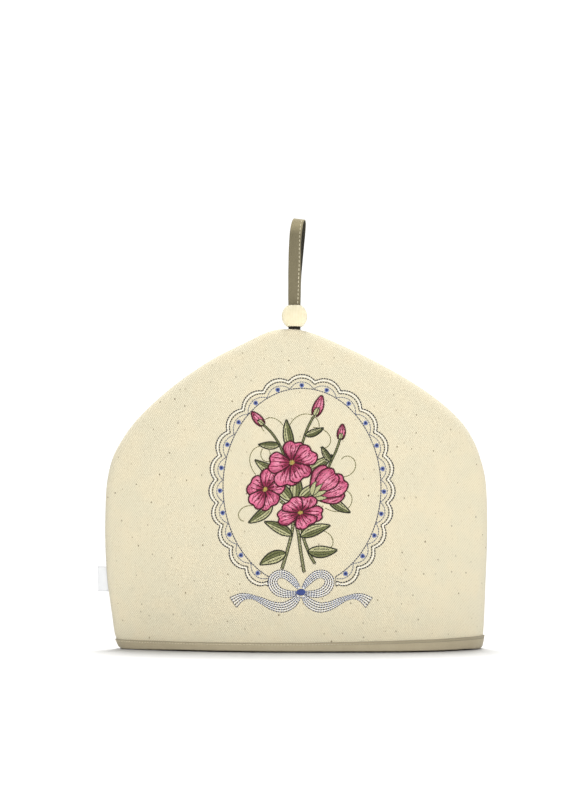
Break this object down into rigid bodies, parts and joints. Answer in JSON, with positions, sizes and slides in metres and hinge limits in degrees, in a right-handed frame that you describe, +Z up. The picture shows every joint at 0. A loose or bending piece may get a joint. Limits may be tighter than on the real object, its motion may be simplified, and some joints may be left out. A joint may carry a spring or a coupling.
{
  "type": "tea cosy",
  "caption": "Padded dome tea cosy in natural cotton with a taupe bound hem, an embroidered front, a hanging loop through a wooden bead and a plain side label.",
  "frame": {"origin": "centre of the bounding box at the underside of the hem, on the surface that the cosy stands on", "axes": "+Z up through the hanging loop, the embroidered front faces -Y, the label is on the -X side"},
  "size_m": [0.3336, 0.0994, 0.3691],
  "materials": {
    "natural_cotton": "matte, fine diagonal twill with seed flecks",
    "taupe_tape": "matte plain weave, folded and topstitched",
    "pale_wood": "smooth, satin",
    "white_woven": "fine woven, plain"
  },
  "bodies": {
    "root": {"front_panel": "natural_cotton", "back_panel": "natural_cotton", "hem_binding": "taupe_tape", "hanging_loop": "taupe_tape", "bead": "pale_wood", "side_label": "white_woven"}
  },
  "joints": []
}
